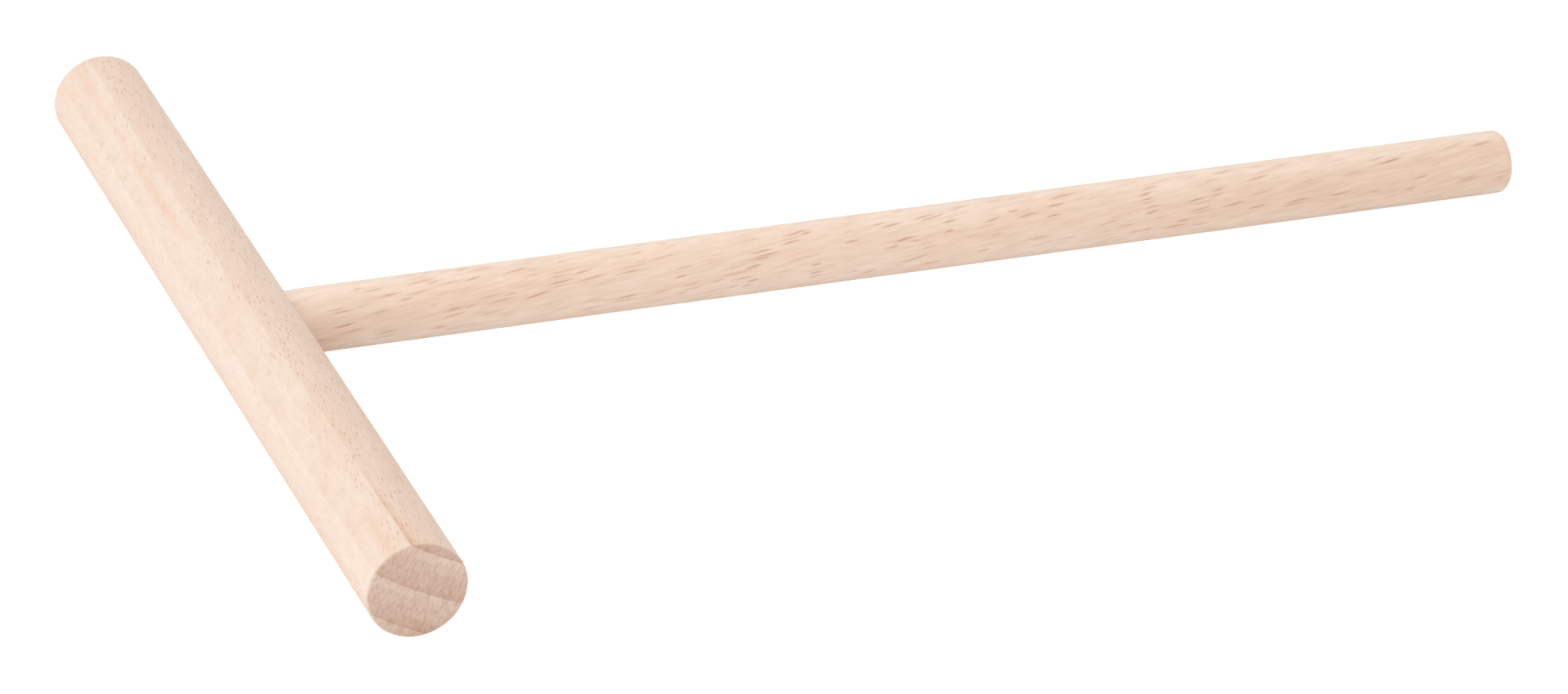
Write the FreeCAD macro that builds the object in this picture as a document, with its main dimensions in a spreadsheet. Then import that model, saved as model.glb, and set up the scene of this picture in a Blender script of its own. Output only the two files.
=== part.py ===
import FreeCAD, Part
import os
import Sketcher

# A wooden batter spreader, shaped like a T: a round crossbar that is drawn over the batter, and a slimmer
# round handle glued square into the crossbar's middle.
#
# Row frame, millimetres: the spreader lies flat, with Z = 0 on its underside. +X runs along the handle
# to its free tip, +Y along the crossbar, and the origin is the middle of the underside's outline.
# Every piece is drawn in a frame of its own, with the same axes and its origin where the crossbar's
# axis and the handle's axis cross.

DRIVING_DIMENSIONS = {
    "bar_diameter": 12.0,       # crossbar, standard dowel
    "bar_length": 130.0,
    "bar_edge_round": 0.3,      # sawn ends, edges just broken with sandpaper
    "handle_diameter": 8.0,     # handle, standard dowel
    "handle_reach": 166.0,      # from the crossbar's axis to the handle's tip
    "tip_round": 0.8,           # sanded edge of the handle's tip
    "tenon_relief": 0.1,        # how much smaller the tenon's radius is than the handle's
    "tenon_chamfer": 0.5,       # lead-in on the tenon's end
    "taper_start": 5.6,         # the handle narrows to the tenon between these two places
    "taper_end": 6.4,
    "socket_floor": 3.5,        # how far the socket goes on past the crossbar's axis
    "glue_gap": 0.15,           # glue film between the tenon and the socket
    "glue_top": 4.3,            # the film stops below the socket's mouth
}

SHEET = "Dimensions"
ORIGIN_GEOMETRY = -1            # the sketcher's own number for a sketch's origin point
START_POINT = 1
END_POINT = 2
CENTRE_POINT = 3
FULL_TURN = 360.0
PLACE_TOLERANCE = 1e-4


def make_sheet(document):
    """Write the driving dimensions into a spreadsheet, one aliased cell each."""
    sheet = document.addObject("Spreadsheet::Sheet", SHEET)
    for row, (alias, value) in enumerate(DRIVING_DIMENSIONS.items(), start=1):
        sheet.set(f"A{row}", alias.replace("_", " "))
        sheet.set(f"B{row}", str(value))
        sheet.setAlias(f"B{row}", alias)
    document.recompute()


def with_sheet(text):
    """Turn dimension names in an expression into references to the spreadsheet."""
    for alias in DRIVING_DIMENSIONS:
        text = text.replace(alias, f"{SHEET}.{alias}")
    return text


def value_of(owner, text):
    """Work an expression out to a plain number."""
    return float(owner.evalExpression(with_sheet(text)))


def new_body(document, label):
    """Start one piece of the spreader, placed so that the two axes cross where the row frame has them."""
    body = document.addObject("PartDesign::Body", label)
    body.Label = label
    body.setExpression("Placement.Base.x", with_sheet("(bar_diameter / 2 - handle_reach) / 2"))
    body.setExpression("Placement.Base.z", with_sheet("bar_diameter / 2"))
    document.recompute()
    return body


def origin_feature(body, role):
    """Find one of the body's own origin planes or axes."""
    return next(feature for feature in body.Origin.OriginFeatures if feature.Role == role)


def new_sketch(body, name, plane_role):
    """Attach an empty sketch to one of the body's origin planes."""
    sketch = body.newObject("Sketcher::SketchObject", name)
    sketch.AttachmentSupport = (origin_feature(body, plane_role), [""])
    sketch.MapMode = "FlatFace"
    return sketch


def draw_outline(sketch, corners):
    """Join corners, given as pairs of expressions, with straight lines and tie each to the sheet."""
    points = [FreeCAD.Vector(value_of(sketch, across), value_of(sketch, up)) for across, up in corners]
    count = len(points)
    for number, point in enumerate(points):
        sketch.addGeometry(Part.LineSegment(point, points[(number + 1) % count]))
    for number in range(count):
        following = (number + 1) % count
        sketch.addConstraint(Sketcher.Constraint("Coincident", number, END_POINT, following, START_POINT))
    for number, corner in enumerate(corners):
        for kind, text in zip(("DistanceX", "DistanceY"), corner):
            constraint = Sketcher.Constraint(
                kind, ORIGIN_GEOMETRY, START_POINT, number, START_POINT, value_of(sketch, text))
            index = sketch.addConstraint(constraint)
            sketch.setExpression(f"Constraints[{index}]", with_sheet(text))


def revolve(body, name, corners, axis_role):
    """Turn a half outline in the body's XY plane round one of its axes."""
    sketch = new_sketch(body, f"{name}_outline", "XY_Plane")
    draw_outline(sketch, corners)
    turned = body.newObject("PartDesign::Revolution", name)
    turned.Profile = sketch
    turned.ReferenceAxis = (origin_feature(body, axis_role), [""])
    turned.Angle = FULL_TURN
    sketch.Visibility = False
    body.Document.recompute()
    return turned


def rim_names(feature, direction, distances):
    """Name the circular edges of a feature whose centres lie at these distances along a direction."""
    names = []
    for number, edge in enumerate(feature.Shape.Edges, start=1):
        is_circle = isinstance(edge.Curve, Part.Circle)
        if is_circle and any(
                abs(edge.Curve.Center.dot(direction) - distance) < PLACE_TOLERANCE for distance in distances):
            names.append(f"Edge{number}")
    return names


def dress_rims(body, kind, name, base, rims, size_property, size):
    """Round or chamfer the named rims of a feature."""
    dressed = body.newObject(kind, name)
    dressed.Base = (base, rims)
    dressed.setExpression(size_property, with_sheet(size))
    body.Document.recompute()
    return dressed


def cut_socket(body, base):
    """Drill the round blind socket that opens on the crossbar's handle side."""
    sketch = new_sketch(body, "socket_mouth", "YZ_Plane")
    sketch.setExpression("AttachmentOffset.Base.z", with_sheet("-socket_floor"))
    radius = "handle_diameter / 2 - tenon_relief + glue_gap"
    circle = Part.Circle(FreeCAD.Vector(), FreeCAD.Vector(0, 0, 1), value_of(sketch, radius))
    sketch.addGeometry(circle)
    sketch.addConstraint(
        Sketcher.Constraint("Coincident", 0, CENTRE_POINT, ORIGIN_GEOMETRY, START_POINT))
    index = sketch.addConstraint(Sketcher.Constraint("Radius", 0, value_of(sketch, radius)))
    sketch.setExpression(f"Constraints[{index}]", with_sheet(radius))
    socket = body.newObject("PartDesign::Pocket", "socket")
    socket.Profile = sketch
    socket.Type = "ThroughAll"
    socket.Reversed = True
    sketch.Visibility = False
    body.Document.recompute()
    if not socket.Shape.Volume < base.Shape.Volume:
        raise RuntimeError("the socket cut nothing from the crossbar")


def make_crossbar(document):
    """The round bar that spreads the batter, with the socket for the handle in its middle."""
    body = new_body(document, "crossbar")
    bar = revolve(body, "bar", [
        ("0", "-bar_length / 2"),
        ("bar_diameter / 2", "-bar_length / 2"),
        ("bar_diameter / 2", "bar_length / 2"),
        ("0", "bar_length / 2"),
    ], "Y_Axis")
    half_length = value_of(body, "bar_length / 2")
    ends = rim_names(bar, FreeCAD.Vector(0, 1, 0), (-half_length, half_length))
    eased = dress_rims(body, "PartDesign::Fillet", "eased_ends", bar, ends, "Radius", "bar_edge_round")
    cut_socket(body, eased)
    return body


def make_handle(document):
    """The slim round handle, from the tenon inside the crossbar out to the rounded free tip."""
    body = new_body(document, "handle")
    tenon_radius = "handle_diameter / 2 - tenon_relief"
    tenon_end = "glue_gap - socket_floor"
    stick = revolve(body, "stick", [
        (tenon_end, "0"),
        (tenon_end, tenon_radius),
        ("taper_start", tenon_radius),
        ("taper_end", "handle_diameter / 2"),
        ("handle_reach", "handle_diameter / 2"),
        ("handle_reach", "0"),
    ], "X_Axis")
    along = FreeCAD.Vector(1, 0, 0)
    tip_rim = rim_names(stick, along, [value_of(body, "handle_reach")])
    rounded = dress_rims(body, "PartDesign::Fillet", "rounded_tip", stick, tip_rim, "Radius", "tip_round")
    tenon_rim = rim_names(rounded, along, [value_of(body, tenon_end)])
    dress_rims(body, "PartDesign::Chamfer", "tenon_lead_in", rounded, tenon_rim, "Size", "tenon_chamfer")
    return body


def make_glue_film(document):
    """The set glue: a thin cup that fills the gap between the tenon and the socket."""
    body = new_body(document, "glue_film")
    inner_radius = "handle_diameter / 2 - tenon_relief"
    outer_radius = f"{inner_radius} + glue_gap"
    tenon_end = "glue_gap - socket_floor"
    revolve(body, "cup", [
        ("-socket_floor", "0"),
        ("-socket_floor", outer_radius),
        ("glue_top", outer_radius),
        ("glue_top", inner_radius),
        (f"{tenon_end} + tenon_chamfer", inner_radius),
        (tenon_end, f"{inner_radius} - tenon_chamfer"),
        (tenon_end, "0"),
    ], "X_Axis")
    return body


def check_document(document, bodies):
    """Stop if any feature failed, or any piece is not one sound solid."""
    for item in document.Objects:
        if "Invalid" in item.State or "Error" in item.State:
            raise RuntimeError(f"{item.Label} failed: {item.State}")
    for body in bodies:
        shape = body.Shape
        if shape.isNull() or not shape.isValid() or len(shape.Solids) != 1:
            raise RuntimeError(f"{body.Label} is not one sound solid")


def main():
    document = FreeCAD.newDocument("batter_spreader")
    make_sheet(document)
    bodies = [make_crossbar(document), make_handle(document), make_glue_film(document)]
    document.recompute()
    check_document(document, bodies)
    os.makedirs("parts", exist_ok=True)
    for body in bodies:
        body.Shape.exportStep(f"parts/{body.Label}.step")
        box = body.Shape.optimalBoundingBox(False)
        print(f"{body.Label}: x {box.XMin:.3f} to {box.XMax:.3f}, y {box.YMin:.3f} to {box.YMax:.3f}, "
              f"z {box.ZMin:.3f} to {box.ZMax:.3f}, volume {body.Shape.Volume:.2f}")


main()
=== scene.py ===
import math

import bpy
import numpy as np
from mathutils import Matrix, Vector, noise


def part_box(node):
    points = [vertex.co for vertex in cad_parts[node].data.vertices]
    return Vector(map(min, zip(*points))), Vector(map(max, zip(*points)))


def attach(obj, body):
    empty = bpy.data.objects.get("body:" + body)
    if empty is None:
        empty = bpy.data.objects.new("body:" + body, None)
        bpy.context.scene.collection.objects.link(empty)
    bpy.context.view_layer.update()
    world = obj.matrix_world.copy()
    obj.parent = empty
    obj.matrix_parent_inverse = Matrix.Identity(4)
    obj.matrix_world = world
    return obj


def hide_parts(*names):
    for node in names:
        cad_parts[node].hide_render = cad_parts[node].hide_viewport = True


# The looks of a wooden batter spreader, shaped like a T: a round crossbar, a slimmer round handle, and the
# glue that joins them. The spreader's own sizes come from the frame. Lengths are in millimetres, and turned
# into metres where Blender gets them; the few that are in metres say so.

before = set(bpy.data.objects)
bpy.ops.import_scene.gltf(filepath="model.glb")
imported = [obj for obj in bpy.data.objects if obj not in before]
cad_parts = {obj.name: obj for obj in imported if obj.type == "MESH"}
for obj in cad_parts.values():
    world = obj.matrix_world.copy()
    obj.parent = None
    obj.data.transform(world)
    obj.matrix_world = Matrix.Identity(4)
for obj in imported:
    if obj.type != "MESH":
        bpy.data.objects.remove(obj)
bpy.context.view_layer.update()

MM = 0.001                              # metres in a millimetre
ALONG_HANDLE = Vector((1, 0, 0))        # away from the crossbar
ALONG_BAR = Vector((0, 1, 0))
UP = Vector((0, 0, 1))


# ---------------------------------------------------------------- sizes read from the frame

def box_mm(node):
    """A CAD node's lowest and highest corners, in millimetres."""
    low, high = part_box(node)
    return low / MM, high / MM


bar_low, bar_high = box_mm("crossbar")
handle_low, handle_high = box_mm("handle")
glue_low, glue_high = box_mm("glue_film")

JOINT = (bar_low + bar_high) / 2        # where the crossbar's axis and the handle's axis cross
BAR_RADIUS = (bar_high.z - bar_low.z) / 2
BAR_HALF_LENGTH = (bar_high.y - bar_low.y) / 2
HANDLE_RADIUS = (handle_high.y - handle_low.y) / 2
HANDLE_REACH = handle_high.x - JOINT.x  # this and the next two are measured from the joint
TENON_END = handle_low.x - JOINT.x
SOCKET_FLOOR = glue_low.x - JOINT.x
SOCKET_RADIUS = (glue_high.y - glue_low.y) / 2


# ---------------------------------------------------------------- mesh building

POLE_COUNT = 2              # a turned piece is closed by a point at each end of its axis
SEGMENTS = 160              # round a stick
ARC_STEPS = 6               # along a rounded edge
RING_SPACING = 0.6          # along a straight stretch
CORNER_ANGLE = math.radians(35)     # faces that meet more sharply than this are shaded with a corner
UNDULATION = 0.02           # how far a sanded dowel strays from a true cylinder
UNDULATION_LENGTH = 14.0
EDGE_WEAR = 0.07            # unevenness of a hand-sanded edge
EDGE_WEAR_LENGTH = 1.6
EDGE_LOSS = 0.5             # makes the wear take wood off more than it leaves it standing


def unit(vector):
    """The vector of length 1 in the same direction."""
    return vector / np.linalg.norm(vector)


def stretch(start, end):
    """Evenly spaced points from start up to, but not including, end."""
    count = max(1, round(float(np.linalg.norm(end - start)) / RING_SPACING))
    return [start + (end - start) * step / count for step in range(count)]


def round_off(before, corner, after, rounding):
    """Round a square corner: the arc's start, its points up to but not including its end, and its end."""
    to_before = unit(before - corner)
    to_after = unit(after - corner)
    centre = corner + (to_before + to_after) * rounding
    arc = []
    for step in range(ARC_STEPS):
        turn = math.pi / 2 * step / ARC_STEPS
        arc.append(centre - rounding * (to_after * math.cos(turn) + to_before * math.sin(turn)))
    return corner + to_before * rounding, arc, corner + to_after * rounding


def outline(corners):
    """Turn (station, radius, rounding) corners into the closely spaced points of a profile."""
    places = [np.array(corner[:2], float) for corner in corners]
    points = []
    previous_end = None
    for index, (corner, place) in enumerate(zip(corners, places)):
        rounding = corner[2]
        start, arc, end = place, [], place
        if rounding:
            start, arc, end = round_off(places[index - 1], place, places[index + 1], rounding)
        if previous_end is not None:
            points += stretch(previous_end, start)
        points += arc
        previous_end = end
    return np.array(points + [previous_end])


def profile_normals(points):
    """Outward unit normals of a profile, as (station, radius) pairs."""
    tangents = np.gradient(points, axis=0)
    normals = np.stack((-tangents[:, 1], tangents[:, 0]), axis=1)
    return normals / np.linalg.norm(normals, axis=1, keepdims=True)


def smooth_noise(point, length):
    """Smooth noise between about -1 and 1, with features of the given length."""
    return noise.noise(Vector(point) / length)


def sanding(point, edge_share):
    """How far hand sanding leaves a point off the true shape; edge_share is 1 at the middle of an edge."""
    wave = UNDULATION * smooth_noise(point, UNDULATION_LENGTH)
    wear = EDGE_WEAR * edge_share * (smooth_noise(point, EDGE_WEAR_LENGTH) - EDGE_LOSS)
    return wave + wear


def turned_vertices(profile, along, sanded_from):
    """A turned piece's vertices, in metres: a pole at each end of the axis, and rings between them."""
    side = along.cross(UP)
    vertices = []
    for (station, radius), (normal_along, normal_out) in zip(profile, profile_normals(profile)):
        is_pole = radius == 0
        edge_share = 2 * abs(normal_along * normal_out)
        for segment in range(1 if is_pole else SEGMENTS):
            turn = 2 * math.pi * segment / SEGMENTS
            spoke = UP * math.cos(turn) + side * math.sin(turn)
            point = JOINT + along * station + spoke * radius
            if sanded_from is not None and station >= sanded_from and not is_pole:
                point = point + (along * normal_along + spoke * normal_out) * sanding(point, edge_share)
            vertices.append(point * MM)
    return vertices


def turned_faces(ring_count):
    """The faces that join a turned piece's first pole, its rings and its last pole."""
    last_pole = 1 + ring_count * SEGMENTS
    last_ring = last_pole - SEGMENTS
    faces = []
    for segment in range(SEGMENTS):
        following = (segment + 1) % SEGMENTS
        faces.append((0, 1 + following, 1 + segment))
        for low in range(1, last_ring, SEGMENTS):
            high = low + SEGMENTS
            faces.append((low + segment, low + following, high + following, high + segment))
        faces.append((last_ring + segment, last_ring + following, last_pole))
    return faces


def lathe(name, corners, along, sanded_from=None):
    """Turn a profile, which starts and ends on the axis, round an axis that goes through the joint."""
    profile = outline(corners)
    ring_count = len(profile) - POLE_COUNT
    mesh = bpy.data.meshes.new(name)
    mesh.from_pydata(turned_vertices(profile, along, sanded_from), [], turned_faces(ring_count))
    mesh.validate()
    piece = bpy.data.objects.new(name, mesh)
    bpy.context.scene.collection.objects.link(piece)
    return piece


def combine(piece, operation, tool):
    """Cut the tool out of a piece, or keep only what they share, and delete the tool."""
    modifier = piece.modifiers.new("combine", "BOOLEAN")
    modifier.operation = operation
    modifier.solver = "EXACT"
    modifier.object = tool
    with bpy.context.temp_override(object=piece, active_object=piece, selected_objects=[piece]):
        bpy.ops.object.modifier_apply(modifier=modifier.name)
    bpy.data.objects.remove(tool)


def finish_piece(piece, node, material):
    """Shade a piece, give it its material and let it stand for its CAD node."""
    piece.data.shade_smooth()
    piece.data.set_sharp_from_angle(angle=CORNER_ANGLE)
    piece.data.materials.clear()
    piece.data.materials.append(material)
    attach(piece, "root")
    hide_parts(node)


# ---------------------------------------------------------------- the three pieces

BAR_EDGE_ROUND = 0.35
TIP_ROUND = 0.8
TENON_RELIEF = 0.1          # how much smaller the tenon's radius is than the handle's
TENON_RADIUS = HANDLE_RADIUS - TENON_RELIEF
TENON_CHAMFER = 0.5
TAPER_START = 5.6           # the handle narrows to the tenon between these two distances from the joint
TAPER_END = 6.4
GLUE_CLEARANCE = 0.004      # keeps the glue's mesh just off the wood's
GLUE_SINK = 0.05            # the glue line lies this far under the crossbar's surface


def bar_blank(name, radius, rounding, sanded_from):
    """A round stick of the crossbar's length."""
    return lathe(name, [
        (-BAR_HALF_LENGTH, 0, 0),
        (-BAR_HALF_LENGTH, radius, rounding),
        (BAR_HALF_LENGTH, radius, rounding),
        (BAR_HALF_LENGTH, 0, 0),
    ], ALONG_BAR, sanded_from)


def build_crossbar():
    """The crossbar, with eased ends and the drilled socket."""
    piece = bar_blank("crossbar_stick", BAR_RADIUS, BAR_EDGE_ROUND, sanded_from=-BAR_HALF_LENGTH)
    beyond_bar = 2 * BAR_RADIUS
    drill = lathe("drill", [
        (SOCKET_FLOOR, 0, 0),
        (SOCKET_FLOOR, SOCKET_RADIUS, 0),
        (beyond_bar, SOCKET_RADIUS, 0),
        (beyond_bar, 0, 0),
    ], ALONG_HANDLE)
    combine(piece, "DIFFERENCE", drill)
    return piece


def build_handle():
    """The handle, from the tenon in the socket to the rounded tip."""
    return lathe("handle_stick", [
        (TENON_END, 0, 0),
        (TENON_END, TENON_RADIUS - TENON_CHAMFER, 0),
        (TENON_END + TENON_CHAMFER, TENON_RADIUS, 0),
        (TAPER_START, TENON_RADIUS, 0),
        (TAPER_END, HANDLE_RADIUS, 0),
        (HANDLE_REACH, HANDLE_RADIUS, TIP_ROUND),
        (HANDLE_REACH, 0, 0),
    ], ALONG_HANDLE, sanded_from=TAPER_END)


def build_glue_line():
    """The set glue: a cup round the tenon whose rim follows the crossbar's round surface."""
    inner = TENON_RADIUS + GLUE_CLEARANCE
    outer = SOCKET_RADIUS - GLUE_CLEARANCE
    floor = SOCKET_FLOOR + GLUE_CLEARANCE
    tenon_end = TENON_END - GLUE_CLEARANCE
    piece = lathe("glue_line", [
        (floor, 0, 0),
        (floor, outer, 0),
        (TAPER_END, outer, 0),
        (TAPER_END, HANDLE_RADIUS + GLUE_CLEARANCE, 0),
        (TAPER_START, inner, 0),
        (tenon_end + TENON_CHAMFER, inner, 0),
        (tenon_end, inner - TENON_CHAMFER, 0),
        (tenon_end, 0, 0),
    ], ALONG_HANDLE)
    combine(piece, "INTERSECT", bar_blank("trim", BAR_RADIUS - GLUE_SINK, rounding=0, sanded_from=None))
    return piece


# ---------------------------------------------------------------- writing a material's nodes

HALF = (0.5, 0.5, 0.5)
MIX_COLOR_A = 6             # the mix node's colour sockets share their names with its other kinds
MIX_COLOR_B = 7
MIX_COLOR_RESULT = 2


class Shader:
    """Writes the nodes of one material. Most methods add a node and return what comes out of it."""

    def __init__(self, name):
        self.material = bpy.data.materials.new(name)
        self.material.use_nodes = True
        self.tree = self.material.node_tree
        self.tree.nodes.clear()

    def feed(self, socket, value):
        """Connect a socket to another node's output, or give it a plain value."""
        if isinstance(value, bpy.types.NodeSocket):
            self.tree.links.new(value, socket)
        else:
            socket.default_value = value

    def node(self, kind, inputs=None, **settings):
        """Add any node, with its inputs by name or number."""
        made = self.tree.nodes.new(kind)
        for key, value in settings.items():
            setattr(made, key, value)
        for key, value in (inputs or {}).items():
            self.feed(made.inputs[key], value)
        return made

    def math(self, operation, *values):
        """Do sums with plain numbers."""
        made = self.node("ShaderNodeMath", operation=operation)
        for socket, value in zip(made.inputs, values):
            self.feed(socket, value)
        return made.outputs[0]

    def vector(self, operation, first, second, output="Vector"):
        """Do sums with vectors."""
        made = self.node("ShaderNodeVectorMath", operation=operation)
        self.feed(made.inputs[0], first)
        self.feed(made.inputs[1], second)
        return made.outputs[output]

    def join(self, x, y, z=0.0):
        """Make a vector of three numbers."""
        return self.node("ShaderNodeCombineXYZ", {"X": x, "Y": y, "Z": z}).outputs["Vector"]

    def split(self, vector):
        """Take a vector apart into three numbers."""
        return self.node("ShaderNodeSeparateXYZ", {"Vector": vector}).outputs

    def position(self):
        """Where the shaded point is in the frame, in metres."""
        return self.node("ShaderNodeTexCoord").outputs["Object"]

    def step(self, value, low, high, start=0.0, end=1.0):
        """A smooth step from start, where value is low, to end, where it is high."""
        inputs = {"Value": value, "From Min": low, "From Max": high, "To Min": start, "To Max": end}
        return self.node("ShaderNodeMapRange", inputs, interpolation_type="SMOOTHSTEP").outputs["Result"]

    def near(self, value, middle, reach):
        """1 where value is middle, falling smoothly to 0 at the given reach on both sides."""
        off_middle = self.math("ABSOLUTE", self.math("SUBTRACT", value, middle))
        return self.step(off_middle, reach, 0.0)

    def noise(self, coordinates, lengths, detail=2.0, offset=(0, 0, 0)):
        """Noise whose features have the given lengths along the three coordinates."""
        scaled = self.vector("DIVIDE", self.vector("ADD", coordinates, offset), lengths)
        return self.node("ShaderNodeTexNoise", {"Vector": scaled, "Scale": 1.0, "Detail": detail})

    def shift(self, coordinates, amount, lengths):
        """Move coordinates about by smooth noise."""
        wave = self.vector("SUBTRACT", self.noise(coordinates, lengths).outputs["Color"], HALF)
        return self.vector("ADD", coordinates, self.vector("MULTIPLY", wave, amount))

    def mix(self, factor, first, second, blend="MIX"):
        """Blend two colours: the first where the factor is 0, the second where it is 1."""
        made = self.node("ShaderNodeMix", data_type="RGBA", blend_type=blend, clamp_factor=True)
        self.feed(made.inputs["Factor"], factor)
        self.feed(made.inputs[MIX_COLOR_A], first)
        self.feed(made.inputs[MIX_COLOR_B], second)
        return made.outputs[MIX_COLOR_RESULT]

    def tint(self, color, factor, tint):
        """Multiply a colour by a tint where the factor is 1."""
        return self.mix(factor, color, (*tint, 1.0), blend="MULTIPLY")

    def finish(self, color, roughness, normal, specular):
        """Close the material with its surface."""
        surface = self.node("ShaderNodeBsdfPrincipled", {
            "Base Color": color, "Roughness": roughness, "Normal": normal, "Specular IOR Level": specular})
        self.show(surface.outputs["BSDF"])
        return self.material

    def show(self, surface):
        """Lead a surface to the material's output."""
        output = self.node("ShaderNodeOutputMaterial")
        self.tree.links.new(surface, output.inputs["Surface"])


# ---------------------------------------------------------------- the wood's colours and grain

# Both sticks are bare beech, described in the coordinates of the tree they were cut from: the distance from
# the pith, the distance round it, and the height up the trunk. In a look, wood and end_wood are the colours
# of the sides and of the sawn ends, and all the other colours are tints that multiply them.

CROSSBAR_LOOK = {
    # how far the grain strays, slowly and quickly, and over what lengths
    "wander": (0.9, 0.9, 0.0),
    "wander_lengths": (24.0, 24.0, 55.0),
    "ripple": (0.35, 0.35, 0.0),
    "ripple_lengths": (2.0, 2.0, 14.0),
    # growth rings: where one starts, and the shares of a year's growth where each tint begins or ends
    "ring_start": 40.95,
    "ring_width": 4.65,
    "early_until": 0.4,
    "late_from": 0.4,
    "line_from": 0.87,
    "early": (1.01, 1.015, 1.015),
    "late": (0.975, 0.95, 0.935),
    # the one ring end that shows as a dotted line on the side, and the height by which it has faded away
    "line_from_pith": 50.2,
    "line_fades_by": 24.0,
    "line_dot_lengths": (6.0, 3.0, 0.9),
    "line": (0.84, 0.65, 0.51),
    # a warm streak along the side, and its gap: the middle, how far from it the streak starts, and is full
    "streak_from_pith": 52.0,
    "streak_width": 0.9,
    "streak_gap": (45.0, 28.0, 42.0),
    "streak": (1.0, 0.93, 0.89),
    # rays: the spacing round and up the trunk; the reach and half width are shares of that spacing
    "ray_spacing": (0.42, 1.5),
    "ray_reach": (0.25, 0.55),
    "ray_half_width": 0.28,
    "ray_softness": 0.25,
    "ray_share": 0.55,
    "ray_patch_lengths": (3.0, 2.0, 5.0),
    "ray_on_radial_face": 0.2,
    "ray_drift": (0.0, 0.5, 0.6),
    "ray_drift_lengths": (4.0, 1.5, 4.0),
    "ray": (0.72, 0.58, 0.51),
    # the sides
    "wood": (0.747, 0.578, 0.473),
    "radial_face": (0.95, 0.995, 1.03),
    # the sawn ends
    "end_wood": (0.667, 0.487, 0.397),
    "end_early": (1.05, 1.095, 1.105),
    "end_late": (0.90, 0.85, 0.825),
    "end_line": (0.96, 0.93, 0.91),
    "end_ray": (1.07, 1.10, 1.11),
    "band_lengths": (0.7, 9.0, 40.0),
    "end_bands": (0.96, 0.945, 0.94),
    "pore_lengths": (0.8, 0.3, 3.0),
    "end_pores": (0.84, 0.795, 0.775),
    # slow and quick colour changes, and the fibres
    "cloud_lengths": (5.0, 5.0, 22.0),
    "cloud": (0.985, 0.95, 0.92),
    "figure_lengths": (1.6, 0.55, 2.6),
    "figure_pale": (1.015, 1.03, 1.04),
    "figure_dark": (0.98, 0.955, 0.935),
    "fibre_lengths": (0.22, 0.22, 4.0),
    "fibre": (0.96, 0.95, 0.94),
    # the surface
    "bump": 0.03,
    "roughness": 0.5,
    "specular": 0.5,
}

NO_TINT = (1.0, 1.0, 1.0)

HANDLE_LOOK = {
    **CROSSBAR_LOOK,
    "ring_start": 70.0,
    "ring_width": 3.6,
    "early": NO_TINT,
    "late": (0.985, 0.97, 0.96),
    "line": NO_TINT,
    "streak_from_pith": 95.0,
    "streak_width": 1.7,
    "streak_gap": (0.0, 50.0, 150.0),
    "streak": (0.96, 0.93, 0.905),
    "ray_spacing": (0.52, 4.4),
    "ray_reach": (0.25, 0.6),
    "ray_half_width": 0.38,
    "ray_softness": 0.36,
    "ray_share": 0.6,
    "ray_patch_lengths": (4.0, 2.0, 9.0),
    "ray_on_radial_face": 0.4,
    "ray": (0.73, 0.56, 0.49),
    "wood": (0.80, 0.61, 0.485),
    "radial_face": (1.0, 1.05, 1.10),
    "end_wood": (0.78, 0.60, 0.50),
    "figure_lengths": (0.9, 0.5, 4.5),
    "figure_pale": (1.045, 1.07, 1.095),
    "figure_dark": (0.955, 0.925, 0.90),
    # painted shade: a darker, warmer tint low on the handle beside the crossbar, in place of the crossbar's
    # shadow there
    "painted_shade": (0.98, 0.89, 0.84),
}

# Where each stick was cut from its tree: the bark's direction round the stick's axis, the distance from the
# stick's start to the pith, and the slopes at which the grain runs out of the stick.
BAR_BARK_TURN = math.radians(242)
BAR_GRAIN = {"pith_distance": 55.0, "radial_slope": 0.02, "tangential_slope": -0.08}
HANDLE_BARK_TURN = math.radians(150)
HANDLE_GRAIN = {"pith_distance": 90.0, "radial_slope": 0.005, "tangential_slope": -0.12}

# The wood's noise patterns. The offsets keep patterns of about the same size from lining up.
PATTERNS = {
    "line_dot": {"detail": 2.0, "offset": (7, 3, 11)},
    "ray_patch": {"detail": 2.0, "offset": (2, 9, 4)},
    "band": {"detail": 1.0, "offset": (12, 4, 9)},
    "pore": {"detail": 4.0, "offset": (0, 0, 0)},
    "cloud": {"detail": 2.0, "offset": (31, 5, 17)},
    "figure": {"detail": 3.0, "offset": (3, 8, 1)},
    "fibre": {"detail": 3.0, "offset": (0, 0, 0)},
}

# The values of a pattern at which its tint starts to show and shows in full.
LINE_DOT_SPAN = (0.35, 0.6)
RAY_PATCH_SPAN = (0.36, 0.52)
BAND_SPAN = (0.4, 0.6)
PORE_SPAN = (0.4, 0.7)
CLOUD_SPAN = (0.3, 0.7)
PALE_FIGURE_SPAN = (0.55, 0.25)
DARK_FIGURE_SPAN = (0.45, 0.75)
FIBRE_SPAN = (0.35, 0.7)

# The same for how squarely the surface faces the bark, or the end of the trunk.
RAY_FACE_SPAN = (0.35, 1.0)
RADIAL_FACE_SPAN = (1.0, 0.3)
END_FACE_SPAN = (0.55, 0.95)

LINE_BETWEEN_DOTS = 0.5     # strength of a dotted line between its dots
RAY_CHOICE_SOFTNESS = 0.03
FAINTEST_RAY = 0.3
RAY_HOLLOW = 0.6            # how deep the rays lie, against the height of the fibres
WOOD_BUMP_STRENGTH = 0.5
FIBRE_ROUGHNESS = 0.2       # how much rougher the fibres make the surface

PAINTED_SHADE_REACH = 15.0          # how far out from the joint the painted shade goes
PAINTED_SHADE_HEIGHTS = (0.5, -2.0)     # where the painted shade starts and where it is full, from the handle's axis


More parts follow.
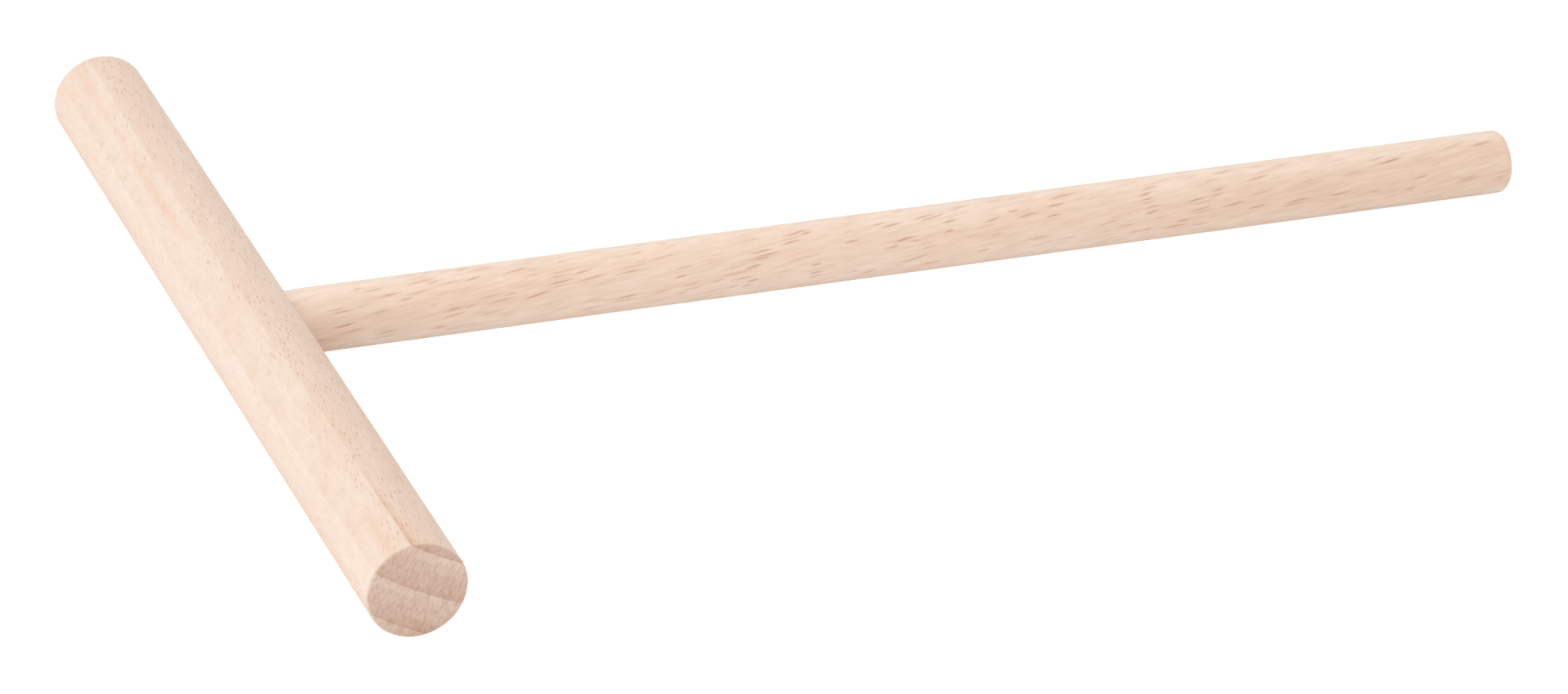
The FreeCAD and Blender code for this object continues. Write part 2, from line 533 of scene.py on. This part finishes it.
def cut_from_tree(start, along, bark, pith_distance, radial_slope, tangential_slope):
    """Where a stick's tree lies: its pith, the turn of its axes (bark, round, grain) and two of the axes."""
    side = along.cross(bark)
    grain = (along + bark * radial_slope + side * tangential_slope).normalized()
    radial = (bark - grain * bark.dot(grain)).normalized()
    around = grain.cross(radial)
    axes = Matrix((radial, around, grain)).transposed()
    return {
        "pith": (start - bark * pith_distance) * MM,
        "pith_distance": pith_distance,
        "turn": axes.to_euler(),
        "radial": radial,
        "grain": grain,
    }


def place_in_tree(shader, look, cut):
    """A point's place in the tree, in millimetres: out from the pith, round it, and up the trunk."""
    in_tree = shader.node("ShaderNodeMapping", {
        "Vector": shader.position(),
        "Location": cut["pith"],
        "Rotation": cut["turn"],
        "Scale": (MM, MM, MM),
    }, vector_type="TEXTURE").outputs["Vector"]
    in_tree = shader.shift(in_tree, look["wander"], look["wander_lengths"])
    in_tree = shader.shift(in_tree, look["ripple"], look["ripple_lengths"])
    outward, sideways, up = shader.split(in_tree)
    from_pith = shader.vector("LENGTH", shader.join(outward, sideways), (0, 0, 0), output="Value")
    angle = shader.math("ARCTAN2", sideways, outward)
    return shader.join(from_pith, shader.math("MULTIPLY", angle, cut["pith_distance"]), up)


def pattern(shader, look, place, name):
    """One of the wood's noise patterns, from 0 to 1."""
    return shader.noise(place, look[f"{name}_lengths"], **PATTERNS[name]).outputs["Fac"]


def facing(shader, direction):
    """How squarely the surface faces along a direction, from 0 to 1."""
    normal = shader.node("ShaderNodeNewGeometry").outputs["Normal"]
    return shader.math("ABSOLUTE", shader.vector("DOT_PRODUCT", normal, direction, output="Value"))


def growth(shader, look, place):
    """How far the wood is early growth, late growth, and the dense end of its ring."""
    from_pith = shader.split(place)[0]
    years = shader.math("DIVIDE", shader.math("SUBTRACT", from_pith, look["ring_start"]), look["ring_width"])
    season = shader.math("FRACT", years)
    early = shader.step(season, look["early_until"], 0.0)
    late = shader.step(season, look["late_from"], 1.0)
    ring_end = shader.step(season, look["line_from"], 1.0)
    return early, late, ring_end


def side_line(shader, look, place, ring_end):
    """The one ring end that shows on the side, as a dotted line that fades up the trunk."""
    from_pith, _, up = shader.split(place)
    dots = pattern(shader, look, place, "line_dot")
    line = shader.math("MULTIPLY", ring_end, shader.step(dots, *LINE_DOT_SPAN, start=LINE_BETWEEN_DOTS))
    in_ring = shader.near(from_pith, look["line_from_pith"], look["ring_width"] / 2)
    line = shader.math("MULTIPLY", line, in_ring)
    return shader.math("MULTIPLY", line, shader.step(up, look["line_fades_by"], 0.0))


def warm_streak(shader, look, place):
    """A streak at one distance from the pith, with a gap part of the way up the trunk."""
    from_pith, _, up = shader.split(place)
    gap_middle, gap_none, gap_full = look["streak_gap"]
    from_gap = shader.math("ABSOLUTE", shader.math("SUBTRACT", up, gap_middle))
    across = shader.near(from_pith, look["streak_from_pith"], look["streak_width"])
    return shader.math("MULTIPLY", across, shader.step(from_gap, gap_none, gap_full))


def rays(shader, look, place):
    """The rays: thin radial sheets, seen as short spindles where the surface follows the rings."""
    _, around, up = shader.split(shader.shift(place, look["ray_drift"], look["ray_drift_lengths"]))
    sheet = shader.vector("DIVIDE", shader.join(around, up), (*look["ray_spacing"], 1.0))
    cells = shader.node("ShaderNodeTexVoronoi", {"Vector": sheet, "Scale": 1.0, "Randomness": 1.0},
                        voronoi_dimensions="2D")
    chance, size, depth = shader.node("ShaderNodeSeparateColor", {"Color": cells.outputs["Color"]}).outputs
    off_around, off_up, _ = shader.split(shader.vector("SUBTRACT", sheet, cells.outputs["Position"]))
    reach = shader.math("DIVIDE", off_up, shader.step(size, 0.0, 1.0, *look["ray_reach"]))
    half_width = shader.math(
        "MULTIPLY_ADD", shader.math("POWER", reach, 2.0), -look["ray_half_width"], look["ray_half_width"])
    inside = shader.math("SUBTRACT", half_width, shader.math("ABSOLUTE", off_around))
    spindle = shader.step(inside, 0.0, look["ray_softness"])
    chosen = shader.step(chance, look["ray_share"], look["ray_share"] - RAY_CHOICE_SOFTNESS)
    patches = shader.step(pattern(shader, look, place, "ray_patch"), *RAY_PATCH_SPAN)
    strength = shader.math("MULTIPLY", shader.step(depth, 0.0, 1.0, start=FAINTEST_RAY), patches)
    return shader.math("MULTIPLY", shader.math("MULTIPLY", spindle, chosen), strength)


def painted_joint_shade(shader):
    """Painted shade: darker low on the handle, just outside the crossbar, where the crossbar's shadow falls.
    """
    in_millimetres = shader.vector("DIVIDE", shader.position(), (MM, MM, MM))
    out, _, height = shader.split(shader.vector("SUBTRACT", in_millimetres, JOINT))
    nearness = shader.step(out, PAINTED_SHADE_REACH, BAR_RADIUS)
    return shader.math("MULTIPLY", nearness, shader.step(height, *PAINTED_SHADE_HEIGHTS))


def side_color(shader, look, cut, place, rings, ray):
    """The wood's colour along the stick."""
    early, late, ring_end = rings
    toward_bark = facing(shader, cut["radial"])
    clearness = shader.step(toward_bark, *RAY_FACE_SPAN, start=look["ray_on_radial_face"])
    side_ray = shader.math("MULTIPLY", ray, clearness)
    color = shader.tint((*look["wood"], 1.0), early, look["early"])
    color = shader.tint(color, late, look["late"])
    color = shader.tint(color, side_line(shader, look, place, ring_end), look["line"])
    color = shader.tint(color, warm_streak(shader, look, place), look["streak"])
    color = shader.tint(color, shader.step(toward_bark, *RADIAL_FACE_SPAN), look["radial_face"])
    color = shader.tint(color, side_ray, look["ray"])
    # painted shade low on the handle next to the crossbar
    if "painted_shade" in look:
        color = shader.tint(color, painted_joint_shade(shader), look["painted_shade"])
    return color


def end_color(shader, look, place, rings, ray):
    """The wood's colour on a sawn end, where it is darker and shows its rings, rays and pores."""
    early, late, ring_end = rings
    bands = shader.step(pattern(shader, look, place, "band"), *BAND_SPAN)
    pores = shader.step(pattern(shader, look, place, "pore"), *PORE_SPAN)
    color = shader.tint((*look["end_wood"], 1.0), early, look["end_early"])
    color = shader.tint(color, late, look["end_late"])
    color = shader.tint(color, ring_end, look["end_line"])
    color = shader.tint(color, ray, look["end_ray"])
    color = shader.tint(color, bands, look["end_bands"])
    return shader.tint(color, pores, look["end_pores"])


def beech(name, look, cut):
    """Bare sanded beech, cut from its tree as given."""
    shader = Shader(name)
    place = place_in_tree(shader, look, cut)
    rings = growth(shader, look, place)
    ray = rays(shader, look, place)
    cloud = pattern(shader, look, place, "cloud")
    figure = pattern(shader, look, place, "figure")
    fibres = pattern(shader, look, place, "fibre")

    end_grain = shader.step(facing(shader, cut["grain"]), *END_FACE_SPAN)
    color = shader.mix(end_grain, side_color(shader, look, cut, place, rings, ray),
                       end_color(shader, look, place, rings, ray))
    color = shader.tint(color, shader.step(cloud, *CLOUD_SPAN), look["cloud"])
    color = shader.tint(color, shader.step(figure, *PALE_FIGURE_SPAN), look["figure_pale"])
    color = shader.tint(color, shader.step(figure, *DARK_FIGURE_SPAN), look["figure_dark"])
    color = shader.tint(color, shader.step(fibres, *FIBRE_SPAN), look["fibre"])

    height = shader.math("MULTIPLY_ADD", ray, -RAY_HOLLOW, fibres)
    bump = shader.node("ShaderNodeBump", {
        "Height": height, "Strength": WOOD_BUMP_STRENGTH, "Distance": look["bump"] * MM})
    roughness = shader.math("MULTIPLY_ADD", fibres, FIBRE_ROUGHNESS, look["roughness"])
    return shader.finish(color, roughness, bump.outputs["Normal"], look["specular"])


def crossbar_material():
    """The crossbar's pale cream wood, whose rings show as sloping lines on its sawn ends."""
    near_end = JOINT - ALONG_BAR * BAR_HALF_LENGTH
    bark = ALONG_HANDLE * math.cos(BAR_BARK_TURN) + UP * math.sin(BAR_BARK_TURN)
    return beech("beech_crossbar", CROSSBAR_LOOK, cut_from_tree(near_end, ALONG_BAR, bark, **BAR_GRAIN))


def handle_material():
    """The handle's warmer wood, with the brown flecks of its rays on the side that follows the rings."""
    bark = ALONG_BAR * math.cos(HANDLE_BARK_TURN) + UP * math.sin(HANDLE_BARK_TURN)
    return beech("beech_handle", HANDLE_LOOK, cut_from_tree(JOINT, ALONG_HANDLE, bark, **HANDLE_GRAIN))


# ---------------------------------------------------------------- the glue

GLUE_DARK = (0.66, 0.49, 0.34, 1)
GLUE_PALE = (0.76, 0.60, 0.44, 1)
GLUE_BLOTCHES_PER_METRE = 1200.0
GLUE_BUMP = 0.02
GLUE_BUMP_STRENGTH = 0.4
GLUE_ROUGHNESS = 0.35
GLUE_SPECULAR = 0.5


def glue_material():
    """Set wood glue: yellowish and a little shiny."""
    shader = Shader("set_glue")
    blotches = shader.node("ShaderNodeTexNoise", {
        "Vector": shader.position(), "Scale": GLUE_BLOTCHES_PER_METRE, "Detail": 2.0}).outputs["Fac"]
    color = shader.mix(blotches, GLUE_DARK, GLUE_PALE)
    bump = shader.node("ShaderNodeBump", {
        "Height": blotches, "Strength": GLUE_BUMP_STRENGTH, "Distance": GLUE_BUMP * MM})
    return shader.finish(color, GLUE_ROUGHNESS, bump.outputs["Normal"], GLUE_SPECULAR)


# ---------------------------------------------------------------- studio

FLOOR_HALF_SIZE = 3.0       # metres
FLOOR_GAP = 0.02            # between the floor and the crossbar's underside
FLOOR_WHITE = (0.82, 0.82, 0.82, 1)
FLOOR_GLOW = 0.14
FLOOR_BLEACH = 0.65         # added where the camera sees the floor, so that its shadows all but vanish

SKY_WHITE = (1, 1, 1, 1)
SKY_STRENGTH = 0.95

SOFTBOX_WHITE = (0.97, 1.0, 1.0)
SOFTBOX_BLUE = (0.7, 0.93, 1.0)

# Each faces the middle of the spreader. Distance and size are in metres, and power is in watts.
SOFTBOXES = [
    {"name": "key_light", "toward": (-0.75, 0.22, 0.62), "distance": 0.85, "size": 0.78, "power": 1.9,
     "color": SOFTBOX_WHITE},
    {"name": "low_fill", "toward": (-1.0, -0.45, 0.3), "distance": 0.6, "size": 0.35, "power": 0.52,
     "color": SOFTBOX_WHITE},
    {"name": "top_light", "toward": (0.3, 0.15, 0.9), "distance": 0.9, "size": 0.7, "power": 0.8,
     "color": SOFTBOX_BLUE},
]

CAMERA_AZIMUTH = math.radians(-22.16)
CAMERA_ELEVATION = math.radians(27.95)
CAMERA_ROLL = math.radians(2.91)
CAMERA_AIM = Vector((60.0, -22.07, 0.0))    # from the joint
CAMERA_DISTANCE = 0.8208                    # metres, as are the clipping distances
CAMERA_NEAREST = 0.05
CAMERA_FARTHEST = 20.0
CAMERA_LENS = 157.7


def floor_material():
    """A white sheet that glows a little, and more where the camera sees it."""
    shader = Shader("white_sheet")
    sheet = shader.node("ShaderNodeBsdfDiffuse", {"Color": FLOOR_WHITE})
    seen = shader.node("ShaderNodeLightPath").outputs["Is Camera Ray"]
    glow = shader.node("ShaderNodeEmission", {
        "Strength": shader.math("MULTIPLY_ADD", seen, FLOOR_BLEACH, FLOOR_GLOW)})
    both = shader.node("ShaderNodeAddShader", {0: sheet.outputs[0], 1: glow.outputs[0]})
    shader.show(both.outputs[0])
    return shader.material


def build_floor():
    """A white floor, tilted so that both the crossbar and the handle's tip lie on it."""
    rise = JOINT.z - HANDLE_RADIUS - bar_low.z
    half = FLOOR_HALF_SIZE
    corners = [(-half, -half, 0), (half, -half, 0), (half, half, 0), (-half, half, 0)]
    mesh = bpy.data.meshes.new("floor")
    mesh.from_pydata(corners, [], [(0, 1, 2, 3)])
    mesh.materials.append(floor_material())
    floor = bpy.data.objects.new("floor", mesh)
    floor.location = Vector((JOINT.x, JOINT.y, bar_low.z - FLOOR_GAP)) * MM
    floor.rotation_euler = (0, -math.atan2(rise, HANDLE_REACH), 0)
    bpy.context.scene.collection.objects.link(floor)


def build_sky():
    """An even white room."""
    world = bpy.data.worlds.new("white_room")
    world.use_nodes = True
    background = world.node_tree.nodes["Background"]
    background.inputs["Color"].default_value = SKY_WHITE
    background.inputs["Strength"].default_value = SKY_STRENGTH
    bpy.context.scene.world = world


def build_softbox(name, toward, distance, size, power, color):
    """A square soft light that faces the spreader from the given direction."""
    light = bpy.data.lights.new(name, "AREA")
    light.shape = "SQUARE"
    light.size = size
    light.energy = power
    light.color = color
    lamp = bpy.data.objects.new(name, light)
    direction = Vector(toward).normalized()
    lamp.location = direction * distance
    lamp.rotation_euler = (-direction).to_track_quat("-Z", "Y").to_euler()
    bpy.context.scene.collection.objects.link(lamp)


def build_camera():
    """A long lens that looks along the crossbar, from above its near end."""
    camera = bpy.data.cameras.new("camera")
    camera.lens = CAMERA_LENS
    camera.clip_start = CAMERA_NEAREST
    camera.clip_end = CAMERA_FARTHEST
    holder = bpy.data.objects.new("camera", camera)
    level = math.cos(CAMERA_ELEVATION)
    back = Vector((
        math.sin(CAMERA_AZIMUTH) * level, -math.cos(CAMERA_AZIMUTH) * level, math.sin(CAMERA_ELEVATION)))
    aim = (JOINT + CAMERA_AIM) * MM
    upright = (-back).to_track_quat("-Z", "Y").to_matrix()
    rolled = upright @ Matrix.Rotation(CAMERA_ROLL, 3, "Z")
    holder.matrix_world = Matrix.Translation(aim + back * CAMERA_DISTANCE) @ rolled.to_4x4()
    bpy.context.scene.collection.objects.link(holder)
    bpy.context.scene.camera = holder


# ---------------------------------------------------------------- the scene

finish_piece(build_crossbar(), "crossbar", crossbar_material())
finish_piece(build_handle(), "handle", handle_material())
finish_piece(build_glue_line(), "glue_film", glue_material())

build_floor()
build_sky()
for softbox in SOFTBOXES:
    build_softbox(**softbox)
build_camera()
bpy.context.scene.view_settings.view_transform = "Standard"
